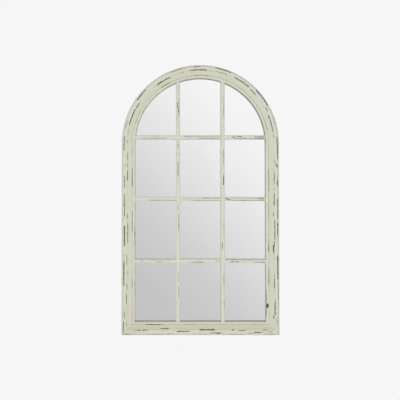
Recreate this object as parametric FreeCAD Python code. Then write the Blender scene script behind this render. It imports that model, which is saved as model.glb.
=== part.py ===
"""Round-topped wall mirror made like a window: a moulded wooden frame with glazing bars in front of
one sheet of mirror glass, a backing board behind it, and two hinged hanging rings on the back.

Millimetres. X to the right, Z up, the front looks along -Y.
The origin is the middle of the bottom edge, in the plane of the wall that the bumpers touch.
The functions below take the frame's back as Y = 0, and the export moves all pieces to the wall.
"""
import FreeCAD, Part
import math
import os

V = FreeCAD.Vector

# ---- overall size ----------------------------------------------------------------------------
frame_width = 700.0
frame_height = 1200.0

# ---- frame moulding, from the outer edge inwards ---------------------------------------------
frame_depth = 26.0             # from the back to the two ridges
outer_side = 19.0              # square part of the outer edge
bevel_width = 6.5              # bevel from the outer edge to the first flat
bevel_drop = 1.6               # how far the bevel ends below the ridges
ridge_rise_width = 4.5         # from the bevel to the first ridge
hollow_width = 13.0            # shallow hollow between the two ridges
hollow_sink = 0.9
quirk_width = 1.0              # small step from the second ridge down to the cove
quirk_drop = 2.6
cove_width = 21.0
cove_sink = 5.8                # deepest point of the cove below the ridges
cove_end_drop = 5.0            # where the cove ends, below the ridges
step_width = 2.5               # step from the cove up to the inner bead
bead_drop = 2.0                # edges of the inner bead below the ridges
bead_width = 8.0
bead_crown = 0.6
nose_width = 3.5               # rounding from the bead to the inner wall
nose_drop = 2.2
member_width = (bevel_width + ridge_rise_width + hollow_width + quirk_width
                + cove_width + step_width + bead_width + nose_width)
inner_wall_top = frame_depth - bead_drop - nose_drop

# ---- rebates at the back ---------------------------------------------------------------------
glass_thickness = 3.0
board_thickness = 4.0
board_recess = 2.0             # back of the board below the back of the frame
glass_lap = 8.0                # width of the ledge that the glass lies on
board_lap = 14.0               # width of the ledge that the board is screwed to
glass_clearance = 1.5          # round the sides and top of the glass
board_clearance = 0.5
board_seat = board_recess + board_thickness
glass_seat = board_seat + glass_thickness

# ---- arch ------------------------------------------------------------------------------------
arch_radius = frame_width / 2
spring_height = frame_height - arch_radius
arch_joints = (0.0, 60.0, 120.0, 180.0)    # degrees, from the right spring round to the left

# ---- glazing bars ----------------------------------------------------------------------------
bar_width = 18.5
bar_flat = 8.5                 # flat face between the two chamfers
bar_chamfer_drop = 3.4
pane_height = 257.0            # clear height of each of the square-cornered panes
pane_columns = 3
bar_rows = 3
tenon_width = 11.0
tenon_thickness = 7.0
tenon_length = 12.0
tenon_clearance = 0.1
tenon_end_clearance = 0.5

# ---- dowels in the frame's joints ------------------------------------------------------------
dowel_radius = 3.95
dowel_clearance = 0.05
dowel_length = 36.0
dowel_end_clearance = 1.0
dowel_insets = (13.0, 30.0)            # from the frame's outer edge
mitre_dowel_length = 24.0
mitre_dowel_insets = (20.0, 34.0)
dowel_depth = 12.0                     # centre line from the back

# ---- screws that hold the board --------------------------------------------------------------
board_screw_radius = 1.5
board_screw_head = 3.0
board_screw_length = 12.0
board_screw_clearance = 0.05
board_screw_inset = 7.0                # from the edge of the ledge
board_screw_spacing = 200.0
board_screw_margin = 50.0              # from the inner corners and the springs
arch_screw_margin = 12.0               # degrees above the springs

# ---- hangers ---------------------------------------------------------------------------------
hanger_below_spring = 50.0             # from the arch's spring down to the ring's bar
hanger_height = spring_height - hanger_below_spring
hanger_inset = 20.0                    # from the frame's outer edge
ring_wire = 1.3                        # radius of the wire
ring_width = 18.0                      # between the wire's centre lines
ring_corner = 2.5
ring_straight = 5.0                    # from the bar to where the round end begins
ring_clearance = 0.08                  # round the bar in the strap's fold
ring_rest_tilt = 2.0                   # degrees, hanging just clear of the strap
strap_sheet = 1.2
strap_width = 12.0
strap_length = 37.0                    # from the ring's bar to the rounded end
strap_screws = (19.5, 31.0)            # below the ring's bar
hanger_screw_radius = 1.75
hanger_screw_head = 3.4
hanger_screw_head_height = 1.9
hanger_screw_length = 15.0
hanger_screw_clearance = 0.05
strap_hole_clearance = 0.2
screw_head_round = 0.8
screw_tip = 2.5
recess_width = 0.8
recess_span = 3.4
recess_depth = 1.0
fold_outer = ring_wire + ring_clearance + strap_sheet

# ---- wall bumpers ----------------------------------------------------------------------------
bumper_radius = 9.0
bumper_inset = 20.0
bumper_height_on_frame = 32.0
bumper_round = 1.5
bumper_past_hangers = 0.4
bumper_thickness = 2 * fold_outer + bumper_past_hangers

# ---- extra length of cutting shapes ----------------------------------------------------------
over = 5.0


def moulding_edges(place):
    """Closed outline of the frame's section. place turns (distance in from the outer edge, height
    above the back) into a point."""
    corners = [(0.0, 0.0), (0.0, outer_side)]
    at = bevel_width
    corners.append((at, frame_depth - bevel_drop))
    at += ridge_rise_width
    corners.append((at, frame_depth))
    hollow = (at + hollow_width / 2, frame_depth - hollow_sink)
    ridge = (at + hollow_width, frame_depth)
    at += hollow_width + quirk_width
    quirk = (at, frame_depth - quirk_drop)
    cove = (at + cove_width / 2, frame_depth - cove_sink)
    cove_end = (at + cove_width, frame_depth - cove_end_drop)
    at += cove_width + step_width
    bead = (at, frame_depth - bead_drop)
    crown = (at + bead_width / 2, frame_depth - bead_drop + bead_crown)
    bead_end = (at + bead_width, frame_depth - bead_drop)
    nose = (member_width, inner_wall_top)
    rebates = [
        (member_width, glass_seat),
        (member_width - glass_lap, glass_seat),
        (member_width - glass_lap, board_seat),
        (member_width - glass_lap - board_lap, board_seat),
        (member_width - glass_lap - board_lap, 0.0),
    ]
    edges = lines_through(place, corners)
    edges.append(arc_through(place, corners[-1], hollow, ridge))
    edges += lines_through(place, [ridge, quirk])
    edges.append(arc_through(place, quirk, cove, cove_end))
    edges += lines_through(place, [cove_end, bead])
    edges.append(arc_through(place, bead, crown, bead_end))
    edges += lines_through(place, [bead_end, nose] + rebates + [corners[0]])
    return edges


def lines_through(place, points):
    return [Part.makeLine(place(*a), place(*b)) for a, b in zip(points, points[1:])]


def arc_through(place, start, middle, end):
    return Part.Arc(place(*start), place(*middle), place(*end)).toShape()


def moulding_face(place):
    return Part.Face(Part.Wire(moulding_edges(place)))


def prism(points_xz, y_from, y_to):
    """Straight block along Y over an outline in the X-Z plane."""
    corners = [V(x, y_from, z) for x, z in points_xz]
    face = Part.Face(Part.makePolygon(corners + corners[:1]))
    return face.extrude(V(0, y_to - y_from, 0))


def box(x_range, y_range, z_range):
    sizes = [high - low for low, high in (x_range, y_range, z_range)]
    return Part.makeBox(*sizes, V(x_range[0], y_range[0], z_range[0]))


def arched_plate(half_width, bottom, y_front, y_back):
    """Flat sheet with a straight foot and a half-round top about the arch's centre."""
    left, right = V(-half_width, y_front, bottom), V(half_width, y_front, bottom)
    left_spring = V(-half_width, y_front, spring_height)
    right_spring = V(half_width, y_front, spring_height)
    top = V(0, y_front, spring_height + half_width)
    outline = [
        Part.makeLine(left, right),
        Part.makeLine(right, right_spring),
        Part.Arc(right_spring, top, left_spring).toShape(),
        Part.makeLine(left_spring, left),
    ]
    return Part.Face(Part.Wire(outline)).extrude(V(0, y_back - y_front, 0))


def mirrored(shape):
    return shape.mirror(V(0, 0, 0), V(1, 0, 0))


# ---- frame -----------------------------------------------------------------------------------
def mitre_waste(stile_side):
    """Corner block at the left foot: the part past the mitre on the rail's or the stile's side."""
    outer = -frame_width / 2 - over
    inner = -frame_width / 2 + member_width + over
    far = (inner, -over) if stile_side else (outer, member_width + over)
    return prism([(outer, -over), (inner, member_width + over), far],
                 -frame_depth - over, over)


def left_stile_blank():
    face = moulding_face(lambda u, h: V(-frame_width / 2 + u, -h, 0))
    return face.extrude(V(0, 0, spring_height)).cut(mitre_waste(stile_side=True))


def bottom_rail_blank():
    face = moulding_face(lambda u, h: V(-frame_width / 2, -h, u))
    waste = mitre_waste(stile_side=False)
    return face.extrude(V(frame_width, 0, 0)).cut([waste, mirrored(waste)])


def arch_segment_blank(start, end):
    turn = math.radians(start)

    def place(u, h):
        radius = arch_radius - u
        return V(radius * math.cos(turn), -h, spring_height + radius * math.sin(turn))

    return moulding_face(place).revolve(V(0, 0, spring_height), V(0, -1, 0), end - start)


def dowel_axes():
    """Centre, direction and length of every dowel."""
    axes = []
    for angle in arch_joints:
        turn = math.radians(angle)
        along = V(-math.sin(turn), 0, math.cos(turn))
        for inset in dowel_insets:
            radius = arch_radius - inset
            centre = V(radius * math.cos(turn), -dowel_depth,
                       spring_height + radius * math.sin(turn))
            axes.append((centre, along, dowel_length))
    for side in (-1, 1):
        for inset in mitre_dowel_insets:
            centre = V(side * (frame_width / 2 - inset), -dowel_depth, inset)
            axes.append((centre, V(side, 0, 1).normalize().cross(V(0, 1, 0)), mitre_dowel_length))
    return axes


def rod(centre, along, length, radius):
    return Part.makeCylinder(radius, length, centre - along * (length / 2), along)


def frame_dowels():
    return [rod(centre, along, length, dowel_radius) for centre, along, length in dowel_axes()]


def dowel_holes():
    return [rod(centre, along, length + 2 * dowel_end_clearance, dowel_radius + dowel_clearance)
            for centre, along, length in dowel_axes()]


# ---- glazing bars ----------------------------------------------------------------------------
def opening_half_width():
    return frame_width / 2 - member_width


def vertical_bar_centres():
    pitch = (2 * opening_half_width() + bar_width) / pane_columns
    return [-opening_half_width() - bar_width / 2 + pitch * n for n in range(1, pane_columns)]


def horizontal_bar_centres():
    pitch = pane_height + bar_width
    return [member_width - bar_width / 2 + pitch * n for n in range(1, bar_rows + 1)]


def bar_outline():
    """Half widths and heights of the bar's section, chamfered on both sides of its flat."""
    return [
        (-bar_width / 2, glass_seat),
        (-bar_width / 2, inner_wall_top - bar_chamfer_drop),
        (-bar_flat / 2, inner_wall_top),
        (bar_flat / 2, inner_wall_top),
        (bar_width / 2, inner_wall_top - bar_chamfer_drop),
        (bar_width / 2, glass_seat),
    ]


def bar_face(place):
    corners = [place(across, height) for across, height in bar_outline()]
    return Part.Face(Part.makePolygon(corners + corners[:1]))


def glazed_opening():
    return arched_plate(opening_half_width(), member_width, -frame_depth, 0)


def vertical_bar_blank(x):
    face = bar_face(lambda across, height: V(x + across, -height, 0))
    return face.extrude(V(0, 0, frame_height)).common(glazed_opening())


def horizontal_bar_blank(z):
    face = bar_face(lambda across, height: V(-frame_width / 2, -height, z + across))
    return face.extrude(V(frame_width, 0, 0)).common(glazed_opening())


def half_lap(front):
    """Front or back half of the space that the bars fill."""
    middle = -(glass_seat + inner_wall_top) / 2
    y_range = (-frame_depth, middle) if front else (middle, 0)
    return box((-frame_width / 2, frame_width / 2), y_range, (0, frame_height))


def wall_reach(offset):
    """Distance from the arch's centre to its inner wall, at this offset from the centre line."""
    return math.sqrt(opening_half_width() ** 2 - offset ** 2)


def tenon(centre, reach, vertical, grow=0.0, grow_end=0.0):
    """Stub at a bar's end. centre is across the bar; reach gives its two ends along the bar."""
    across = (centre - tenon_width / 2 - grow, centre + tenon_width / 2 + grow)
    depth = -(glass_seat + inner_wall_top - bar_chamfer_drop) / 2
    y_range = (depth - tenon_thickness / 2 - grow, depth + tenon_thickness / 2 + grow)
    low, high = sorted(reach)
    along = (low - grow_end, high) if reach[1] < reach[0] else (low, high + grow_end)
    return box(across, y_range, along) if vertical else box(along, y_range, across)


def vertical_tenon_reaches(x):
    """Bottom and top stubs. Each starts inside the bar, so that the coped end is covered."""
    edge = abs(x) + tenon_width / 2
    foot = (member_width + over, member_width - tenon_length)
    head = (spring_height + wall_reach(edge) - over, spring_height + wall_reach(edge) + tenon_length)
    return [foot, head]


def horizontal_tenon_reaches(z):
    above = z + tenon_width / 2 - spring_height
    wall = wall_reach(above) if above > 0 else opening_half_width()
    end = wall + tenon_length
    return [(-wall + over, -end), (wall - over, end)]


def tenons(grow=0.0, grow_end=0.0):
    """Every stub with the bar that it belongs to, as (vertical, centre, solid)."""
    found = []
    for x in vertical_bar_centres():
        for reach in vertical_tenon_reaches(x):
            found.append((True, x, tenon(x, reach, True, grow, grow_end)))
    for z in horizontal_bar_centres():
        for reach in horizontal_tenon_reaches(z):
            found.append((False, z, tenon(z, reach, False, grow, grow_end)))
    return found


def mortises():
    return [solid for _, _, solid in tenons(tenon_clearance, tenon_end_clearance)]


def glazing_bars():
    """Bars crossing in half laps: the upright ones give way in front, where the chamfers of the
    level ones are scribed into them, and the level ones give way behind."""
    uprights = [vertical_bar_blank(x) for x in vertical_bar_centres()]
    levels = [horizontal_bar_blank(z) for z in horizontal_bar_centres()]
    upright_backs = [bar.common(half_lap(front=False)) for bar in uprights]
    level_fronts = [bar.common(half_lap(front=True)) for bar in levels]
    uprights = [bar.cut(level_fronts) for bar in uprights]
    levels = [bar.cut(upright_backs) for bar in levels]
    stubs = tenons()
    for number, x in enumerate(vertical_bar_centres()):
        uprights[number] = one_solid(uprights[number], [s for v, c, s in stubs if v and c == x])
    for number, z in enumerate(horizontal_bar_centres()):
        levels[number] = one_solid(levels[number], [s for v, c, s in stubs if not v and c == z])
    return uprights, levels


def one_solid(shape, additions):
    return shape.fuse(additions).removeSplitter()


# ---- glass, board and its screws -------------------------------------------------------------
def mirror_glass():
    ledge = frame_width / 2 - member_width + glass_lap
    return arched_plate(ledge - glass_clearance, member_width - glass_lap,
                        -glass_seat, -board_seat)


def evenly(start, end, spacing):
    steps = max(1, round((end - start) / spacing))
    return [start + (end - start) * n / steps for n in range(steps + 1)]


def board_screw_places():
    line = member_width - glass_lap - board_screw_inset
    side = frame_width / 2 - line
    corner = member_width + board_screw_margin
    places = [(x, line) for x in evenly(-frame_width / 2 + corner, frame_width / 2 - corner,
                                        board_screw_spacing)]
    for z in evenly(corner, spring_height - board_screw_margin, board_screw_spacing):
        places += [(-side, z), (side, z)]
    margin = math.radians(arch_screw_margin)
    for turn in evenly(margin, math.pi - margin, board_screw_spacing / side):
        places.append((side * math.cos(turn), spring_height + side * math.sin(turn)))
    return places


def board_screw_blank(x, z, grow=0.0):
    """Countersunk screw, its head level with the back of the board."""
    top = V(x, -board_recess, z)
    into = V(0, -1, 0)
    cone_depth = board_screw_head - board_screw_radius
    head = Part.makeCone(board_screw_head + grow, board_screw_radius + grow, cone_depth, top, into)
    shank_length = board_screw_length - cone_depth - screw_tip
    shank_top = top + into * cone_depth
    shank = Part.makeCylinder(board_screw_radius + grow, shank_length, shank_top, into)
    tip = Part.makeCone(board_screw_radius + grow, 0, screw_tip, shank_top + into * shank_length,
                        into)
    return head.fuse([shank, tip]).removeSplitter()


def cross_recess(x, y_top, z):
    half, slot = recess_span / 2, recess_width / 2
    y_range = (y_top - recess_depth, y_top + over)
    upright = box((x - slot, x + slot), y_range, (z - half, z + half))
    return upright.fuse(box((x - half, x + half), y_range, (z - slot, z + slot)))


def board_screws():
    return [board_screw_blank(x, z).cut(cross_recess(x, -board_recess, z))
            for x, z in board_screw_places()]


def board_screw_holes():
    return [board_screw_blank(x, z, board_screw_clearance) for x, z in board_screw_places()]


def backing_board():
    foot = member_width - glass_lap - board_lap
    plate = arched_plate(frame_width / 2 - foot - board_clearance, foot + board_clearance,
                         -board_seat, -board_recess)
    return plate.cut(board_screw_holes())


# ---- hangers and bumpers, made for the left side ---------------------------------------------
def hanger_x():
    return -frame_width / 2 + hanger_inset


def hanger_strap():
    """Steel strip whose top end is curled round the ring's bar."""
    x = hanger_x()
    low = hanger_height - strap_length + strap_width / 2
    plate = box((x - strap_width / 2, x + strap_width / 2), (0, strap_sheet), (low, hanger_height))
    end = Part.makeCylinder(strap_width / 2, strap_sheet, V(x, 0, low), V(0, 1, 0))
    start = V(x - strap_width / 2, fold_outer, hanger_height)
    curl = Part.makeCylinder(fold_outer, strap_width, start, V(1, 0, 0))
    bore = Part.makeCylinder(ring_wire + ring_clearance, strap_width, start, V(1, 0, 0))
    gap = box((x - strap_width, x + strap_width), (-over, fold_outer),
              (hanger_height - fold_outer - over, hanger_height))
    curl = curl.cut(bore).cut(gap)
    hole = hanger_screw_radius + strap_hole_clearance
    holes = [Part.makeCylinder(hole, strap_sheet, V(x, 0, hanger_height - drop), V(0, 1, 0))
             for drop in strap_screws]
    return plate.fuse([end, curl]).removeSplitter().cut(holes)


def hanging_ring():
    """Closed D of round wire, hanging from its straight bar."""
    half, knee = ring_width / 2, ring_width / 2 - ring_corner
    x, y, z = hanger_x(), fold_outer, hanger_height
    slant = ring_corner * (1 - math.sqrt(0.5))

    def at(across, down):
        return V(x + across, y, z - down)

    path = Part.Wire([
        Part.makeLine(at(-knee, 0), at(knee, 0)),
        Part.Arc(at(knee, 0), at(half - slant, slant), at(half, ring_corner)).toShape(),
        Part.makeLine(at(half, ring_corner), at(half, ring_straight)),
        Part.Arc(at(half, ring_straight), at(0, ring_straight + half),
                 at(-half, ring_straight)).toShape(),
        Part.makeLine(at(-half, ring_straight), at(-half, ring_corner)),
        Part.Arc(at(-half, ring_corner), at(-half + slant, slant), at(-knee, 0)).toShape(),
    ])
    section = Part.Wire(Part.makeCircle(ring_wire, at(-knee, 0), V(1, 0, 0)))
    ring = path.makePipeShell([section], True, False)
    ring.rotate(V(x, y, z), V(1, 0, 0), ring_rest_tilt)
    return ring


def pan_screw(x, z):
    """Screw with a rounded head that lies on the strap."""
    seat = strap_sheet
    head = Part.makeCylinder(hanger_screw_head, hanger_screw_head_height, V(x, seat, z), V(0, 1, 0))
    crown = seat + hanger_screw_head_height
    rim = [edge for edge in head.Edges
           if edge.BoundBox.YMin > crown - hanger_screw_head_height / 2 and edge.Closed
           and len(edge.Vertexes) == 1]
    head = head.makeFillet(screw_head_round, rim)
    shank = pan_screw_shank(x, z, hanger_screw_radius)
    return head.fuse(shank).removeSplitter().cut(cross_recess(x, crown, z))


def pan_screw_shank(x, z, radius):
    straight = hanger_screw_length - screw_tip
    shank = Part.makeCylinder(radius, straight, V(x, strap_sheet, z), V(0, -1, 0))
    tip = Part.makeCone(radius, 0, screw_tip, V(x, strap_sheet - straight, z), V(0, -1, 0))
    return shank.fuse(tip)


def hanger_screws():
    return [pan_screw(hanger_x(), hanger_height - drop) for drop in strap_screws]


def hanger_screw_holes():
    radius = hanger_screw_radius + hanger_screw_clearance
    return [pan_screw_shank(hanger_x(), hanger_height - drop, radius) for drop in strap_screws]


def wall_bumper():
    x = -frame_width / 2 + bumper_inset
    pad = Part.makeCylinder(bumper_radius, bumper_thickness, V(x, 0, bumper_height_on_frame),
                            V(0, 1, 0))
    rim = [edge for edge in pad.Edges if edge.BoundBox.YMin > bumper_thickness / 2]
    return pad.makeFillet(bumper_round, rim)


# ---- all pieces ------------------------------------------------------------------------------
def frame_members():
    cuts = mortises() + dowel_holes() + board_screw_holes()
    left_screw_holes = hanger_screw_holes()
    cuts += left_screw_holes + [mirrored(hole) for hole in left_screw_holes]
    stile = left_stile_blank()
    right, crown, left = [arch_segment_blank(a, b) for a, b in zip(arch_joints, arch_joints[1:])]
    blanks = {
        "left_stile": stile,
        "right_stile": mirrored(stile),
        "bottom_rail": bottom_rail_blank(),
        "arch_left": left,
        "arch_crown": crown,
        "arch_right": right,
    }
    return {name: blank.cut(cuts) for name, blank in blanks.items()}


def all_pieces():
    pieces = frame_members()
    uprights, levels = glazing_bars()
    for name, bar in zip(("vertical_bar_left", "vertical_bar_right"), uprights):
        pieces[name] = bar
    for name, bar in zip(("horizontal_bar_bottom", "horizontal_bar_middle",
                          "horizontal_bar_top"), levels):
        pieces[name] = bar
    pieces["frame_dowels"] = Part.makeCompound(frame_dowels())
    pieces["mirror_glass"] = mirror_glass()
    pieces["backing_board"] = backing_board()
    pieces["board_screws"] = Part.makeCompound(board_screws())
    left_side = {
        "hanger_strap": hanger_strap(),
        "hanging_ring": hanging_ring(),
        "hanger_screws": Part.makeCompound(hanger_screws()),
        "wall_bumper": wall_bumper(),
    }
    for name, shape in left_side.items():
        pieces[name + "_left"] = shape
        pieces[name + "_right"] = mirrored(shape)
    return pieces


os.makedirs("parts", exist_ok=True)
for name, shape in all_pieces().items():
    shape.translate(V(0, -bumper_thickness, 0))
    shape.exportStep("parts/" + name + ".step")
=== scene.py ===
import math

import bmesh
import bpy
import numpy as np
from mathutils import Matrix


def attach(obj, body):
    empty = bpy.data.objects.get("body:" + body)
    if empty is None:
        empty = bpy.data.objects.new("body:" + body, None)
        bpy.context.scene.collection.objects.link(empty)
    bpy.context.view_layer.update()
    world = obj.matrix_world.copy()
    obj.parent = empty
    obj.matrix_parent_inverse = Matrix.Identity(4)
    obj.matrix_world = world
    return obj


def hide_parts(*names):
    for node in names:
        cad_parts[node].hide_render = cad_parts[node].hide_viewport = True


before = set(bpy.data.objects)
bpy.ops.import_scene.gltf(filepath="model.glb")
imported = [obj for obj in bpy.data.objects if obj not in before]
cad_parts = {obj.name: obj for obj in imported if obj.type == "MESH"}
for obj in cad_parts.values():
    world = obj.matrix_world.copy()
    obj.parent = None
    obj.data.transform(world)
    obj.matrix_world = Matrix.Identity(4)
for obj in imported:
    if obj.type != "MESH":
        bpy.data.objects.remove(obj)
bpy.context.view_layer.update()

# The looks of the window mirror. The wooden pieces are swept again from the sizes below, with the
# paint's wear in their surface, and lie just inside their solids. The other pieces keep their solids
# and get a material. Sizes of the object are in millimetres, and those of the room in metres.
MM = 0.001

# ---- sizes of the wooden pieces, in millimetres, as in the part's source ---------------------
FRAME_WIDTH = 700.0
FRAME_HEIGHT = 1200.0
ARCH_RADIUS = FRAME_WIDTH / 2
SPRING = FRAME_HEIGHT - ARCH_RADIUS
ARCH_JOINTS = {"arch_right": (0.0, 60.0), "arch_crown": (60.0, 120.0), "arch_left": (120.0, 180.0)}
BACK_PLANE = -5.56             # back of the frame, in front of the wall
DEPTH = 26.0
OUTER_SIDE = 19.0
BEVEL_WIDTH = 6.5
BEVEL_DROP = 1.6
RIDGE_RISE_WIDTH = 4.5
HOLLOW_WIDTH = 13.0
HOLLOW_SINK = 0.9
QUIRK_WIDTH = 1.0
QUIRK_DROP = 2.6
COVE_WIDTH = 21.0
COVE_SINK = 5.8
COVE_END_DROP = 5.0
STEP_WIDTH = 2.5
BEAD_DROP = 2.0
BEAD_WIDTH = 8.0
BEAD_CROWN = 0.6
NOSE_WIDTH = 3.5
NOSE_DROP = 2.2
FIRST_RIDGE = BEVEL_WIDTH + RIDGE_RISE_WIDTH
SECOND_RIDGE = FIRST_RIDGE + HOLLOW_WIDTH
COVE_START = SECOND_RIDGE + QUIRK_WIDTH
COVE_END = COVE_START + COVE_WIDTH
BEAD_START = COVE_END + STEP_WIDTH
BEAD_END = BEAD_START + BEAD_WIDTH
MEMBER_WIDTH = BEAD_END + NOSE_WIDTH
INNER_WALL_TOP = DEPTH - BEAD_DROP - NOSE_DROP
BOARD_SEAT = 6.0
GLASS_SEAT = 9.0
GLASS_LAP = 8.0
BOARD_LAP = 14.0
BAR_WIDTH = 18.5
BAR_FLAT = 8.5
BAR_CHAMFER_DROP = 3.4
PANE_HEIGHT = 257.0
PANE_COLUMNS = 3
BAR_ROWS = 3
OPENING_HALF = FRAME_WIDTH / 2 - MEMBER_WIDTH
RIDGES = (0.0, FIRST_RIDGE, SECOND_RIDGE, BEAD_START, MEMBER_WIDTH - NOSE_WIDTH / 2)   # insets

# ---- fineness of the meshes ------------------------------------------------------------------
STATION = 3.0                  # between sections along a piece
ACROSS = 1.1                   # between points across the moulded face
SIDE_ACROSS = 2.0              # between points down the plain sides
BACK_ACROSS = 6.0              # between points across the plain back
MITRE_STATIONS = 3             # closer sections on each side of a mitre
SHARP_ANGLE = math.radians(32)

# ---- how the surface differs from the solids ---------------------------------------------------
LEAST_SINK = 0.05              # keeps the whole surface just inside the solids
RUB_DEPTH = 0.45               # wood and paint gone where a mark is strongest
EDGE_DEPTH = 0.25              # ridges rubbed down between the marks
EDGE_WIDTH = 1.5               # reach of that rubbing beside a ridge
EDGE_BUMPS = (18.0, 4.0)       # its unevenness, along and across
WAVER = 0.12                   # unevenness of hand-finished paint
WAVER_BUMPS = (55.0, 16.0)
JOINT_SINK = 0.4               # fine groove where the paint dips into a mitre
JOINT_WIDTH = 0.5
JOINT_DIRT = 0.6
BAR_OVERLAP = 3.0              # a bar's end goes this far into the frame
LAP_SINK = 1.0                 # an upright bar passes this far under the level one
LAP_STEP = 0.2                 # length of the step down to that

# ---- outlines of the rubbed marks --------------------------------------------------------------
MARK_FADE = 4.0                # a mark fades over this length past its ends
MARK_BUMPS = (5.0, 3.0)        # unevenness of its outline, along and across
MARK_NARROWEST = 0.55          # narrowest place, and how much more the widest has
MARK_WIDENING = 0.9

# ---- numbers that keep the noise of one piece or kind apart from that of the others ------------
EDGE_SEED = 90.5
WAVER_SEED = 51.3
STILE_SEED = 3
RAIL_SEED = 7
ARCH_SEED = 11
UPRIGHT_SEED = 21
LEVEL_SEED = 31
PIECE_STEP = 37.0

# ---- how yellow the paint has gone, from 0 to 1 -----------------------------------------------
AGED = {"bottom_rail": 0.80, "left_stile": 0.43, "arch_right": 0.38}
AGED_ELSEWHERE = 0.50
AGED_BARS = 0.03
OUTSIDE_COVE = 0.18            # share of it outside the cove
COVE_EDGES = (5.0, 4.0)        # it fades over these widths at the cove's outer and inner edge
RIM_START = 1.0                # inset from which it comes back on the worn outer bevel
WORN_RIM = 8.0                 # over this width
LEFT_AT_RIM = 0.1

# ---- painted shade beside the glass and in the groove, darker paint in the cove, from 0 to 1 ---
# Painted shade along the inner wall beside the glass: how dark it is on each piece.
SHADE_BESIDE_GLASS = {"bottom_rail": 0.40, "right_stile": 0.08, "arch_right": 0.65, "arch_crown": 0.42,
                "arch_left": 0.22}
SHADE_BESIDE_GLASS_FADE = 2.0
# Painted shade in the groove beside the bead: how dark it is on each piece.
SHADE_IN_GROOVE = {"bottom_rail": 0.45, "right_stile": 0.0, "arch_right": 0.08}
SHADE_IN_GROOVE_ELSEWHERE = 0.15     # the groove beside the bead
GROOVE_LINE = BEAD_START + 0.5
GROOVE_WIDTH = 2.4
# The bottom rail's paint is darker along the cove's outer side.
IN_COVE = {"bottom_rail": 0.16}
COVE_LINE = COVE_START + 6.0   # the cove's outer side
COVE_LINE_WIDTH = 6.0

# ---- warm stains in the paint: from, to along the piece and strength. Along the arch they are
# measured round its middle line from the right spring. ------------------------------------------
STAINS = {
    "bottom_rail": [(-350, -295, 0.60), (55, 95, 0.25)],
    "left_stile": [(0, 110, 0.38)],
    "arch_crown": [(520, 620, 0.28)],
}
STAIN_FADE = 35.0              # over this length a stain thins out at its ends


# ---- noise -----------------------------------------------------------------------------------
SCATTER_I = 127.1              # large unrelated factors, which leave the sine's last digits to chance
SCATTER_J = 311.7
SCATTER_SEED = 74.7
SCATTER_ALL = 43758.5453


def lattice(i, j, seed):
    """A number from 0 to 1 for every whole i and j, always the same one."""
    value = np.sin(i * SCATTER_I + j * SCATTER_J + seed * SCATTER_SEED) * SCATTER_ALL
    return value - np.floor(value)


def smooth_noise(x, y, seed):
    """Value noise from 0 to 1 with one bump per unit."""
    i, j = np.floor(x), np.floor(y)
    u, v = x - i, y - j
    u, v = u * u * (3 - 2 * u), v * v * (3 - 2 * v)
    low = lattice(i, j, seed) * (1 - u) + lattice(i + 1, j, seed) * u
    high = lattice(i, j + 1, seed) * (1 - u) + lattice(i + 1, j + 1, seed) * u
    return low * (1 - v) + high * v


# ---- rubbed marks: from, to along the piece, inset across it, width, strength ----------------
STILE_MARKS = {
    "left_stile": [
        (14, 60, 10.0, 1.8, 0.82), (80, 104, 14.0, 1.6, 0.70), (41, 60, 22.0, 1.5, 0.55),
        (142, 178, 22.0, 1.8, 0.72), (203, 222, 25.0, 1.6, 0.50), (223, 323, 11.0, 2.2, 1.00),
        (270, 283, 28.0, 1.8, 0.50), (313, 330, 24.5, 1.6, 0.50), (336, 352, 24.5, 1.6, 0.50),
        (326, 340, 13.5, 1.4, 0.50), (352, 358, 13.0, 2.0, 0.55), (396, 482, 13.5, 2.2, 0.95),
        (410, 458, 28.0, 1.8, 0.62), (466, 494, 28.0, 1.8, 0.66), (519, 534, 27.5, 2.0, 0.60),
        (526, 622, 13.5, 1.9, 0.68), (653, 704, 13.5, 1.8, 0.68), (749, 756, 16.0, 1.4, 0.55),
        (688, 727, 26.5, 1.8, 0.62), (742, 760, 27.0, 1.5, 0.50), (778, 806, 27.0, 1.6, 0.55),
        (818, 850, 11.0, 2.2, 0.75), (460, 546, 47.5, 1.6, 0.62), (660, 734, 47.0, 1.7, 0.72),
        (797, 835, 47.0, 1.3, 0.45), (210, 250, 47.5, 1.4, 0.50), (60, 172, 47.5, 1.0, 0.32),
        (176, 238, 58.5, 1.2, 0.38), (390, 478, 58.5, 1.4, 0.42),
    ],
    "right_stile": [
        (40, 80, 12.0, 1.3, 0.58), (143, 237, 6.0, 1.3, 0.56), (250, 348, 7.5, 2.4, 1.00),
        (90, 143, 20.0, 2.2, 0.90), (146, 162, 19.5, 1.4, 0.50), (78, 84, 27.0, 2.4, 0.75),
        (210, 250, 23.5, 2.0, 0.75), (254, 270, 22.0, 1.6, 0.60), (362, 372, 25.0, 1.8, 0.62),
        (373, 395, 26.0, 2.4, 0.95), (398, 414, 22.0, 2.0, 0.72), (423, 506, 20.0, 2.0, 0.68),
        (440, 472, 8.0, 2.0, 0.70), (480, 494, 8.0, 2.4, 0.85), (517, 600, 8.0, 1.9, 0.66),
        (527, 540, 26.5, 1.8, 0.62), (577, 624, 22.5, 2.0, 0.75), (644, 650, 21.5, 1.6, 0.50),
        (669, 721, 21.5, 1.7, 0.62), (657, 670, 8.5, 1.8, 0.62), (671, 680, 8.5, 2.6, 0.95),
        (684, 703, 8.0, 1.4, 0.55), (743, 752, 9.0, 1.8, 0.75), (752, 760, 14.0, 1.8, 0.75),
        (762, 774, 19.5, 1.6, 0.60), (783, 850, 8.0, 2.2, 0.82), (227, 297, 46.5, 1.6, 0.62),
        (373, 390, 47.0, 2.2, 0.85), (392, 422, 47.0, 1.5, 0.55), (503, 587, 47.0, 1.4, 0.50),
        (637, 733, 46.5, 1.5, 0.58), (786, 840, 46.5, 1.1, 0.36), (125, 136, 55.0, 4.2, 1.60),
        (87, 200, 58.5, 1.3, 0.50),
    ],
}
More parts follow.
